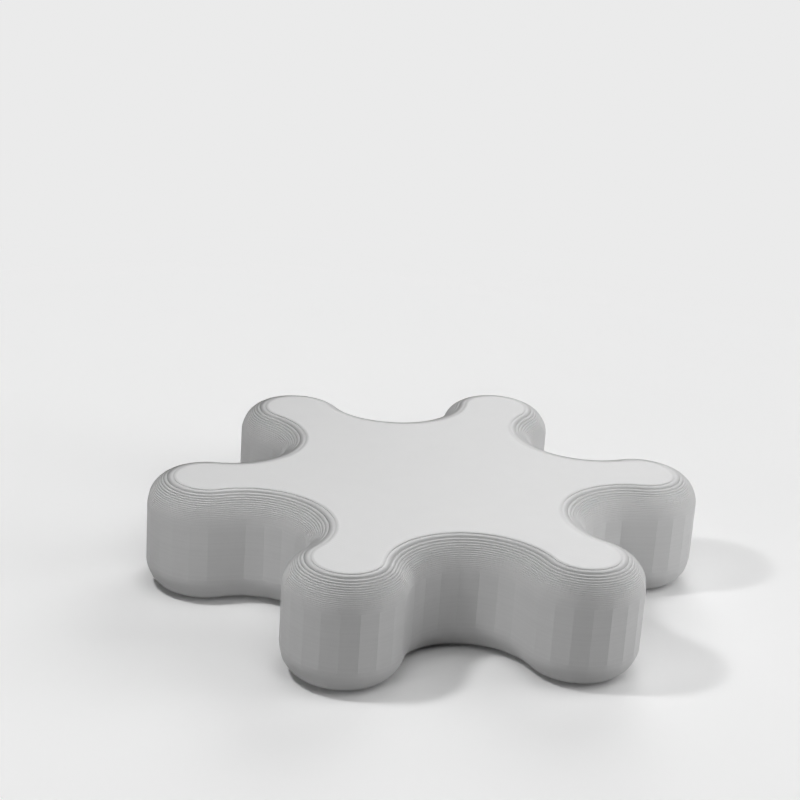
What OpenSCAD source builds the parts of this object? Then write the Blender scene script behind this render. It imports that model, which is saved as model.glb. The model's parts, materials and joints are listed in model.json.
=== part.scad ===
// Flower knob: a flat hand knob with round lobes, made in one piece.
// The axis is Z, the base lies on z = 0 and one lobe points along +X.

/* [Knob] */
// Diameter over the tips of the lobes
knob_d = 70; // [64:0.5:80]
// Height from the base to the flat top
knob_h = 14.2; // [12:0.2:20]
// Number of lobes
lobes = 6; // [5:1:8]
// Radius of the round end of a lobe
lobe_r = 7.3; // [6:0.1:9]
// Diameter across the floors of the valleys between the lobes
root_d = 41.4; // [38:0.2:44]
// Radius that rounds the rims at the top and at the base
rim_r = 3.6; // [1:0.2:5]

/* [Threaded hole] */
// Diameter of the hole's wall, for an M8 thread
hole_d = 6.8; // [5:0.1:9]
// Depth of the hole up from the base
hole_depth = 10; // [6:0.5:10.5]
// Width of the lead-in chamfer at the hole's mouth
lead_in = 0.6; // [0.2:0.1:1]

/* [Hidden] */
$fn = 96;

lobe_step = 360 / lobes;
half_step = lobe_step / 2;
// Distance from the axis to the centre of a lobe's round end
lobe_c = knob_d / 2 - lobe_r;
root_r = root_d / 2;
// Depth by which a valley's cut bites into the lobes beside it, so that it runs off cleanly
bite = 0.01;
// Distance from a lobe's centre to the arc of the valley beside it
flank_r = lobe_r - bite;
// Radius of a valley's arc that touches its floor and both flanks
valley_r = (lobe_c ^ 2 + root_r ^ 2 - 2 * lobe_c * root_r * cos(half_step) - flank_r ^ 2)
    / (2 * (flank_r + lobe_c * cos(half_step) - root_r));
// Distance from the axis to the centre of a valley's arc
valley_c = root_r + valley_r;
// How far a cut runs out past the face it opens
run_out = 1;

// Half section of a lobe, from its centre line to its wall, with both rims rounded
module lobe_section() {
    intersection() {
        union() {
            square([lobe_r - rim_r, knob_h]);
            translate([0, rim_r]) square([lobe_r, knob_h - 2 * rim_r]);
            for (z = [rim_r, knob_h - rim_r])
                translate([lobe_r - rim_r, z]) circle(rim_r);
        }
        square([lobe_r, knob_h]);
    }
}

// Half section of a valley's cut, which flares by the same rounding at both rims
module valley_section() {
    difference() {
        translate([0, -run_out]) square([valley_r + rim_r, knob_h + 2 * run_out]);
        translate([valley_r, rim_r]) square([rim_r + run_out, knob_h - 2 * rim_r]);
        for (z = [rim_r, knob_h - rim_r])
            translate([valley_r + rim_r, z]) circle(rim_r);
    }
}

// Round lobe that points along +X
module lobe() {
    translate([lobe_c, 0, 0])
        rotate([0, 0, 180]) rotate_extrude() lobe_section();
}

// Cut that clears the valley along +X
module valley_cut() {
    translate([valley_c, 0, 0]) rotate_extrude() valley_section();
}

// Middle of the knob, a star with its points at the centres of the lobes and the valleys
module hub() {
    corners = [for (i = [0 : 2 * lobes - 1])
        let (reach = i % 2 == 0 ? lobe_c : valley_c, turn = i * half_step)
        [reach * cos(turn), reach * sin(turn)]];
    linear_extrude(knob_h) polygon(corners);
}

// Blind hole up from the base, with its lead-in
module thread_cut() {
    translate([0, 0, -run_out]) {
        cylinder(h = hole_depth + run_out, d = hole_d);
        cylinder(h = lead_in + run_out, d1 = hole_d + 2 * (lead_in + run_out), d2 = hole_d);
    }
}

module flower_knob() {
    color("#d9d9d9")
        difference() {
            union() {
                hub();
                for (i = [0 : lobes - 1]) rotate([0, 0, i * lobe_step]) lobe();
            }
            for (i = [0 : lobes - 1]) rotate([0, 0, (i + 0.5) * lobe_step]) valley_cut();
            thread_cut();
        }
}

flower_knob();
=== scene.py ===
# Flower knob: a printed hand knob with its layer lines, lying on a pale studio floor.
import json
import math

import bmesh
import bpy
import numpy as np
from mathutils import Euler, Matrix, Vector


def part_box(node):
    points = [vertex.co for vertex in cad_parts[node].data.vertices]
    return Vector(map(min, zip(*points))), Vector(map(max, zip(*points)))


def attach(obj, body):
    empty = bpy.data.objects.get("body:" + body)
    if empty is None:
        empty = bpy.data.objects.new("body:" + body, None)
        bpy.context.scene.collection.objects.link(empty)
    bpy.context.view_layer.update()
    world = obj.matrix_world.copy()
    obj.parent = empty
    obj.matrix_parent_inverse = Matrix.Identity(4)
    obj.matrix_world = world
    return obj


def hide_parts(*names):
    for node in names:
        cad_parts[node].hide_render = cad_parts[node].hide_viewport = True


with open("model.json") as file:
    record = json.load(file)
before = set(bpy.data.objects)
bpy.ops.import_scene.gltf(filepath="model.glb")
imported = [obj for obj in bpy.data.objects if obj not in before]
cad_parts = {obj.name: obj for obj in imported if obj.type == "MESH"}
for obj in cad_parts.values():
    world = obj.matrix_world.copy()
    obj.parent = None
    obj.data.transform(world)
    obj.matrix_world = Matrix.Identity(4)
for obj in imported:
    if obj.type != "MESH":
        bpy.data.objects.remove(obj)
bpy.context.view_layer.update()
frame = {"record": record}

NODE = "flower_knob"
MM = 0.001
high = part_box(NODE)[1]
stud_hole = frame["record"]["mounts"][0]

# The outline, as in the solid
LOBES = 6
KNOB_H = high.z
LOBE_R = 7.3 * MM
ROOT_R = 20.7 * MM
RIM_R = 3.6 * MM
LOBE_C = high.x - LOBE_R
HALF_STEP = math.pi / LOBES
VALLEY_R = (LOBE_C ** 2 + ROOT_R ** 2 - 2 * LOBE_C * ROOT_R * math.cos(HALF_STEP) - LOBE_R ** 2) / (
    2 * (LOBE_R + LOBE_C * math.cos(HALF_STEP) - ROOT_R))
VALLEY_C = ROOT_R + VALLEY_R

# The walls are made of upright flat panels, which fade out over the rims
LOBE_PANELS = 12
VALLEY_PANELS = 8
STEPS_PER_PANEL = 3

# The printed layers of the rims: their height, how far the upper ones lean in below their edge,
# and how far the shading of a layer's flat turns down at its edge
LAYER_H = 0.2 * MM
TOP_LAYER_H = 0.135 * MM
SIDE_LEAN = 0.06 * MM
EDGE_TURN = math.radians(85)
TOP_EDGE_TURN = math.radians(45)
SHARP_ANGLE = math.radians(40)

# The threaded hole: the flanks' slope, the crests' flat and the run-out are in shares of a turn
HOLE_R = stud_hole["dims"]["r_mm"] * MM
LEAD_IN = 0.6 * MM
HOLE_DEPTH = LEAD_IN + stud_hole["dims"]["length_mm"] * MM
THREAD_PITCH = 1.25 * MM
THREAD_DEPTH = 0.55 * MM
FLANK_SLOPE = 2.2
CREST_FLAT = 0.35
RUN_OUT = 0.3
RINGS_PER_TURN = 12
HOLE_STEPS = 96

# The plastic: its tone, gloss and grain, and how far they vary
PLASTIC_TONE = 0.72
TONE_SPREAD = 0.02
MOTTLE_SCALE = 400
GRAIN_SCALE = 5000
ROUGHNESS = 0.42
ROUGHNESS_SPREAD = 0.16
SPECULAR = 0.2

# Its relief: the width of the tracks on the flats, the height of tracks and layer lines,
# and how sharply the tracks end where a flat turns into a wall
TRACK_W = 0.45 * MM
RELIEF_H = 0.002 * MM
FLAT_POWER = 8

# The camera: place in mm, lens and sensor in mm, and angles in degrees
CAMERA_PLACE = (-46.546, -213.920, 103.839)
CAMERA_LENS = 84.92
CAMERA_SENSOR = 36
CAMERA_DOWN = 20.081
CAMERA_TURN = -11.157
CAMERA_ROLL = 3.825

# Lamps: place in mm, radius in mm and power in watts
LAMPS = (
    ("left_lamp", (-69.7, -21.5, 110.4), 8, 0.19),
    ("front_lamp", (0, -100, 140), 45, 0.145),
    ("right_lamp", (80, -40, 70), 45, 0.14),
    ("back_right_lamp", (60, 90, 100), 45, 0.24),
    ("low_right_lamp", (250, -60, 30), 30, 0.415),
    ("low_back_lamp", (60, 260, 120), 50, 0.26),
    ("low_left_lamp", (-150, -150, 60), 50, 0.21),
    ("high_lamp", (0, 0, 400), 50, 0.4),
)

# The studio: the floor's tone for bounced light, the tone of floor and backdrop as seen,
# where the lit floor starts and ends to fade into the backdrop, and half the floor's width
FLOOR_BOUNCE = 0.4
BACKGROUND = 0.83
LIT_FLOOR_R = 100 * MM
EVEN_FLOOR_R = 160 * MM
FLOOR_REACH = 4.0


def arc(centre, radius, start, sweep, panels, side):
    """Points, outward directions and panel depths along an arc; side is -1 in a valley, else 1."""
    along = np.arange(panels * STEPS_PER_PANEL)
    turns = start + sweep * along / len(along)
    half_panel = sweep / panels / 2
    off_middle = half_panel * (along % STEPS_PER_PANEL * 2 / STEPS_PER_PANEL - 1)
    rays = np.stack([np.cos(turns), np.sin(turns)], 1)
    depths = radius * (1 - math.cos(half_panel) / np.cos(off_middle))
    return centre + rays * radius, side * rays, side * depths


def outline():
    """Points, outward directions and panel depths once round the knob, lobe by lobe."""
    valley = VALLEY_C * np.array([math.cos(HALF_STEP), math.sin(HALF_STEP)])
    lobe_sweep = math.atan2(valley[1], valley[0] - LOBE_C)
    valley_sweep = lobe_sweep - HALF_STEP
    lobe_arc = arc((LOBE_C, 0), LOBE_R, -lobe_sweep, 2 * lobe_sweep, LOBE_PANELS, 1)
    valley_start = HALF_STEP + math.pi + valley_sweep
    valley_arc = arc(valley, VALLEY_R, valley_start, -2 * valley_sweep, VALLEY_PANELS, -1)
    points, normals, depths = (np.concatenate(pair) for pair in zip(lobe_arc, valley_arc))
    spins = [np.array(Matrix.Rotation(2 * HALF_STEP * k, 2)) for k in range(LOBES)]
    point_ring = np.concatenate([points @ spin.T for spin in spins])
    normal_ring = np.concatenate([normals @ spin.T for spin in spins])
    return point_ring, normal_ring, np.tile(depths, LOBES)


def into_rim(height):
    """How far a height lies up or down into a rim's rounding, and 0 on the upright wall."""
    return max(RIM_R - height, height - (KNOB_H - RIM_R), 0.0)


def layer_rings():
    """Inset, share of the panels' depth and height of each ring, and if it is a layer's outer edge."""
    floors = np.arange(KNOB_H - TOP_LAYER_H, LAYER_H / 2, -LAYER_H)
    floors = [floor for floor in floors if into_rim(floor) > 0] + [0.0]
    rings = []
    ceiling = KNOB_H
    for floor in floors:
        reach = into_rim(floor + LAYER_H / 2)
        inset = RIM_R - math.sqrt(RIM_R ** 2 - reach ** 2)
        share = 1 - reach / RIM_R
        on_top = floor > KNOB_H / 2
        undercut = SIDE_LEAN * (1 - share) if on_top else 0.0
        rings.append((inset, share, ceiling, on_top))
        rings.append((inset + undercut, share, floor, not on_top))
        ceiling = floor
    return rings


def thread_radius(turn, height):
    """Radius of the hole's wall with its thread, which fades out at both ends."""
    phase = (height / THREAD_PITCH - turn / (2 * math.pi)) % 1
    groove = np.clip(FLANK_SLOPE * (1 - np.abs(2 * phase - 1)) - CREST_FLAT, 0, 1)
    fade_in = np.clip((height - LEAD_IN) / THREAD_PITCH, 0, 1)
    fade_out = np.clip((HOLE_DEPTH - height) / THREAD_PITCH - RUN_OUT, 0, 1)
    return HOLE_R + THREAD_DEPTH * groove * fade_in * fade_out


def make_knob():
    """The whole knob as one closed mesh: flat top, layered rims, wall, flat base, threaded hole."""
    edge, normal, depth = outline()
    count = len(edge)
    points = []
    faces = []
    edges = []

    def add_ring(plan, height):
        start = sum(len(ring) for ring in points)
        heights = np.broadcast_to(height, len(plan))
        points.append(np.column_stack([plan, heights]))
        return start

    def join(upper, lower, size):
        for i in range(size):
            j = (i + 1) % size
            faces.append((upper + i, lower + i, lower + j, upper + j))

    # Border of the flat top, then the layers and the wall down to the base
    previous = add_ring(edge - normal * RIM_R, KNOB_H)
    for inset, share, height, is_edge in layer_rings():
        ring = add_ring(edge - normal * (inset + share * depth)[:, None], height)
        join(previous, ring, count)
        if is_edge:
            edges.append(ring)
        previous = ring

    # Border of the flat base, and mouth of the hole in it
    base_edge = add_ring(edge - normal * RIM_R, 0.0)
    join(previous, base_edge, count)
    turns = np.linspace(0, 2 * math.pi, HOLE_STEPS, endpoint=False)
    rays = np.stack([np.cos(turns), np.sin(turns)], 1)
    mouth = add_ring(rays * (HOLE_R + LEAD_IN), 0.0)

    # Lead-in, thread and closed end of the hole
    previous = mouth
    ring_count = round((HOLE_DEPTH - LEAD_IN) / THREAD_PITCH * RINGS_PER_TURN)
    for height in np.linspace(LEAD_IN, HOLE_DEPTH, ring_count + 1):
        ring = add_ring(rays * thread_radius(turns, height)[:, None], height)
        join(previous, ring, HOLE_STEPS)
        previous = ring
    tip = add_ring(np.zeros((1, 2)), HOLE_DEPTH)
    for i in range(HOLE_STEPS):
        faces.append((previous + (i + 1) % HOLE_STEPS, previous + i, tip))

    mesh = bpy.data.meshes.new("printed_knob")
    mesh.from_pydata(np.concatenate(points).tolist(), [], faces)
    finish_faces(mesh)
    round_edges(mesh, edges, normal)
    return mesh


def finish_faces(mesh):
    """Closes the flat top and the base round the hole, and leaves only the wall's panels flat."""
    work = bmesh.new()
    work.from_mesh(mesh)
    open_edges = [edge for edge in work.edges if edge.is_boundary]
    for at_top in (True, False):
        border = [edge for edge in open_edges if (edge.verts[0].co.z > KNOB_H / 2) == at_top]
        facing = (0, 0, 1 if at_top else -1)
        bmesh.ops.triangle_fill(work, use_beauty=True, edges=border, normal=facing)
    work.to_mesh(mesh)
    work.free()
    mesh.set_sharp_from_angle(angle=SHARP_ANGLE)
    for face in mesh.polygons:
        heights = [mesh.vertices[corner].co.z for corner in face.vertices]
        face.use_smooth = max(heights) - min(heights) < RIM_R
    mesh.update()


def round_edges(mesh, edges, normal):
    """Shades each layer's flat as turning down towards its outer edge."""
    outward = np.zeros((len(mesh.vertices), 3))
    turns = np.full(len(mesh.vertices), EDGE_TURN)
    for ring in edges:
        outward[ring:ring + len(normal), :2] = normal
    turns[edges[0]:edges[0] + len(normal)] = TOP_EDGE_TURN
    corners = np.empty(len(mesh.loops), int)
    mesh.loops.foreach_get("vertex_index", corners)
    sizes = np.empty(len(mesh.polygons), int)
    mesh.polygons.foreach_get("loop_total", sizes)
    facing = np.empty(len(mesh.polygons) * 3)
    mesh.polygons.foreach_get("normal", facing)
    level = np.repeat(np.round(facing[2::3]), sizes)
    directions = outward[corners]
    on_edge = np.any(directions, 1) & (level != 0)
    directions[:, :2] *= np.sin(turns[corners])[:, None]
    directions[:, 2] = level * np.cos(turns[corners])
    mesh.normals_split_custom_set((directions * on_edge[:, None]).tolist())


def calculate(tree, operation, *terms):
    """Output of one step of arithmetic on numbers and sockets."""
    node = tree.nodes.new("ShaderNodeMath")
    node.operation = operation
    for socket, term in zip(node.inputs, terms):
        if isinstance(term, (int, float)):
            socket.default_value = term
        else:
            tree.links.new(term, socket)
    return node.outputs["Value"]


def noise(tree, place, scale):
    """Output of a soft noise over the knob, from 0 to 1."""
    node = tree.nodes.new("ShaderNodeTexNoise")
    node.inputs["Scale"].default_value = scale
    tree.links.new(place, node.inputs["Vector"])
    return node.outputs["Fac"]


def split_vector(tree, vector):
    """The three outputs of a vector's parts."""
    node = tree.nodes.new("ShaderNodeSeparateXYZ")
    tree.links.new(vector, node.inputs["Vector"])
    return node.outputs


def printed_plastic():
    """Matte pale grey plastic, with layers of slightly different tone, layer lines and tracks."""
    material = bpy.data.materials.new("printed_plastic")
    material.use_nodes = True
    tree = material.node_tree
    shader = tree.nodes["Principled BSDF"]
    shader.inputs["Specular IOR Level"].default_value = SPECULAR
    place = tree.nodes.new("ShaderNodeTexCoord").outputs["Object"]
    x, y, z = split_vector(tree, place)
    above_first = calculate(tree, "SUBTRACT", z, KNOB_H - TOP_LAYER_H)
    layer = calculate(tree, "DIVIDE", above_first, LAYER_H)

    # Tone of each layer with a soft mottle, and grain in the gloss
    layer_tone = tree.nodes.new("ShaderNodeTexWhiteNoise")
    layer_tone.noise_dimensions = "1D"
    tree.links.new(calculate(tree, "FLOOR", layer), layer_tone.inputs["W"])
    mottle = noise(tree, place, MOTTLE_SCALE)
    mottled = calculate(tree, "MULTIPLY_ADD", mottle, TONE_SPREAD, PLASTIC_TONE - TONE_SPREAD)
    tone = calculate(tree, "MULTIPLY_ADD", layer_tone.outputs["Value"], TONE_SPREAD, mottled)
    tree.links.new(tone, shader.inputs["Base Color"])
    grain = noise(tree, place, GRAIN_SCALE)
    roughness = calculate(tree, "MULTIPLY_ADD", grain, ROUGHNESS_SPREAD, ROUGHNESS)
    tree.links.new(roughness, shader.inputs["Roughness"])

    # Layer lines on the walls and slanting tracks on the flats
    lines = calculate(tree, "COSINE", calculate(tree, "MULTIPLY", layer, 2 * math.pi))
    slant = calculate(tree, "ADD", x, y)
    across = calculate(tree, "MULTIPLY", slant, 2 * math.pi / (TRACK_W * math.sqrt(2)))
    tracks = calculate(tree, "COSINE", across)
    facing = split_vector(tree, tree.nodes.new("ShaderNodeNewGeometry").outputs["Normal"])
    level = calculate(tree, "POWER", calculate(tree, "ABSOLUTE", facing["Z"]), FLAT_POWER)
    beyond_lines = calculate(tree, "SUBTRACT", tracks, lines)
    relief = calculate(tree, "MULTIPLY_ADD", level, beyond_lines, lines)
    bump = tree.nodes.new("ShaderNodeBump")
    bump.invert = True
    bump.inputs["Distance"].default_value = RELIEF_H
    tree.links.new(calculate(tree, "ADD", relief, grain), bump.inputs["Height"])
    tree.links.new(bump.outputs["Normal"], shader.inputs["Normal"])
    return material


def add_camera():
    """Camera at the photograph's viewing angle."""
    data = bpy.data.cameras.new("camera")
    data.lens = CAMERA_LENS
    data.sensor_width = CAMERA_SENSOR
    data.clip_start = 10 * MM
    camera = bpy.data.objects.new("camera", data)
    angles = (math.radians(90 - CAMERA_DOWN), 0, math.radians(CAMERA_TURN))
    turn = Euler(angles).to_matrix().to_4x4()
    roll = Matrix.Rotation(math.radians(CAMERA_ROLL), 4, "Z")
    camera.matrix_world = Matrix.Translation(Vector(CAMERA_PLACE) * MM) @ turn @ roll
    bpy.context.scene.collection.objects.link(camera)
    bpy.context.scene.camera = camera


def add_lamps():
    """Soft lamps on all sides, and one small lamp on the left that casts the crisp shadows."""
    for name, place, radius, power in LAMPS:
        data = bpy.data.lights.new(name, "POINT")
        data.energy = power
        data.shadow_soft_size = radius * MM
        lamp = bpy.data.objects.new(name, data)
        lamp.location = Vector(place) * MM
        bpy.context.scene.collection.objects.link(lamp)


def seen_share(tree):
    """1 for what is seen straight, mirrored or through glass, and 0 for light that only bounces."""
    rays = tree.nodes.new("ShaderNodeLightPath").outputs
    mirrored = calculate(tree, "MAXIMUM", rays["Is Glossy Ray"], rays["Is Transmission Ray"])
    return calculate(tree, "MAXIMUM", rays["Is Camera Ray"], mirrored)


def even_tone(tree):
    """Tone that makes the bare floor look equally bright everywhere under the lamps."""
    place = tree.nodes.new("ShaderNodeNewGeometry").outputs["Position"]
    light = 0.0
    for name, spot, radius, power in LAMPS:
        distance = tree.nodes.new("ShaderNodeVectorMath")
        distance.operation = "DISTANCE"
        distance.inputs[1].default_value = Vector(spot) * MM
        tree.links.new(place, distance.inputs[0])
        reach = distance.outputs["Value"]
        widened = calculate(tree, "MULTIPLY_ADD", reach, reach, (radius * MM) ** 2)
        spread = calculate(tree, "MULTIPLY", reach, widened)
        strength = power * spot[2] * MM / (2 * math.pi) ** 2
        light = calculate(tree, "ADD", light, calculate(tree, "DIVIDE", strength, spread))
    return calculate(tree, "DIVIDE", BACKGROUND, light)


def floor_material():
    """Pale floor that takes shadows round the knob and fades into the backdrop further out."""
    material = bpy.data.materials.new("floor")
    material.use_nodes = True
    tree = material.node_tree
    tree.nodes.remove(tree.nodes["Principled BSDF"])
    lit = tree.nodes.new("ShaderNodeBsdfDiffuse")
    seen = seen_share(tree)
    beyond_bounce = calculate(tree, "SUBTRACT", even_tone(tree), FLOOR_BOUNCE)
    tone = calculate(tree, "MULTIPLY_ADD", seen, beyond_bounce, FLOOR_BOUNCE)
    tree.links.new(tone, lit.inputs["Color"])

    place = tree.nodes.new("ShaderNodeNewGeometry").outputs["Position"]
    distance = tree.nodes.new("ShaderNodeVectorMath")
    distance.operation = "LENGTH"
    tree.links.new(place, distance.inputs[0])
    outside = tree.nodes.new("ShaderNodeMapRange")
    outside.interpolation_type = "SMOOTHSTEP"
    outside.inputs["From Min"].default_value = LIT_FLOOR_R
    outside.inputs["From Max"].default_value = EVEN_FLOOR_R
    tree.links.new(distance.outputs["Value"], outside.inputs["Value"])
    even = tree.nodes.new("ShaderNodeEmission")
    even.inputs["Strength"].default_value = BACKGROUND
    blend = tree.nodes.new("ShaderNodeMixShader")
    seen_outside = calculate(tree, "MULTIPLY", outside.outputs["Result"], seen)
    tree.links.new(seen_outside, blend.inputs["Fac"])
    tree.links.new(lit.outputs["BSDF"], blend.inputs[1])
    tree.links.new(even.outputs["Emission"], blend.inputs[2])
    tree.links.new(blend.outputs["Shader"], tree.nodes["Material Output"].inputs["Surface"])
    return material


def add_floor():
    """Plain pale floor that reaches past the picture."""
    mesh = bpy.data.meshes.new("floor")
    sides = ((-1, -1), (1, -1), (1, 1), (-1, 1))
    corners = [(x * FLOOR_REACH, y * FLOOR_REACH, 0) for x, y in sides]
    mesh.from_pydata(corners, [], [(0, 1, 2, 3)])
    mesh.materials.append(floor_material())
    floor = bpy.data.objects.new("floor", mesh)
    bpy.context.scene.collection.objects.link(floor)


def add_world():
    """Pale backdrop for what is seen, which lights nothing."""
    world = bpy.data.worlds.new("world")
    world.use_nodes = True
    tree = world.node_tree
    background = tree.nodes["Background"]
    background.inputs["Color"].default_value = (1, 1, 1, 1)
    strength = calculate(tree, "MULTIPLY", seen_share(tree), BACKGROUND)
    tree.links.new(strength, background.inputs["Strength"])
    bpy.context.scene.world = world


mesh = make_knob()
mesh.materials.append(printed_plastic())
knob = bpy.data.objects.new("printed_knob", mesh)
bpy.context.scene.collection.objects.link(knob)
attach(knob, "root")
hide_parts(NODE)

add_floor()
add_world()
add_camera()
add_lamps()
bpy.context.scene.view_settings.view_transform = "Standard"
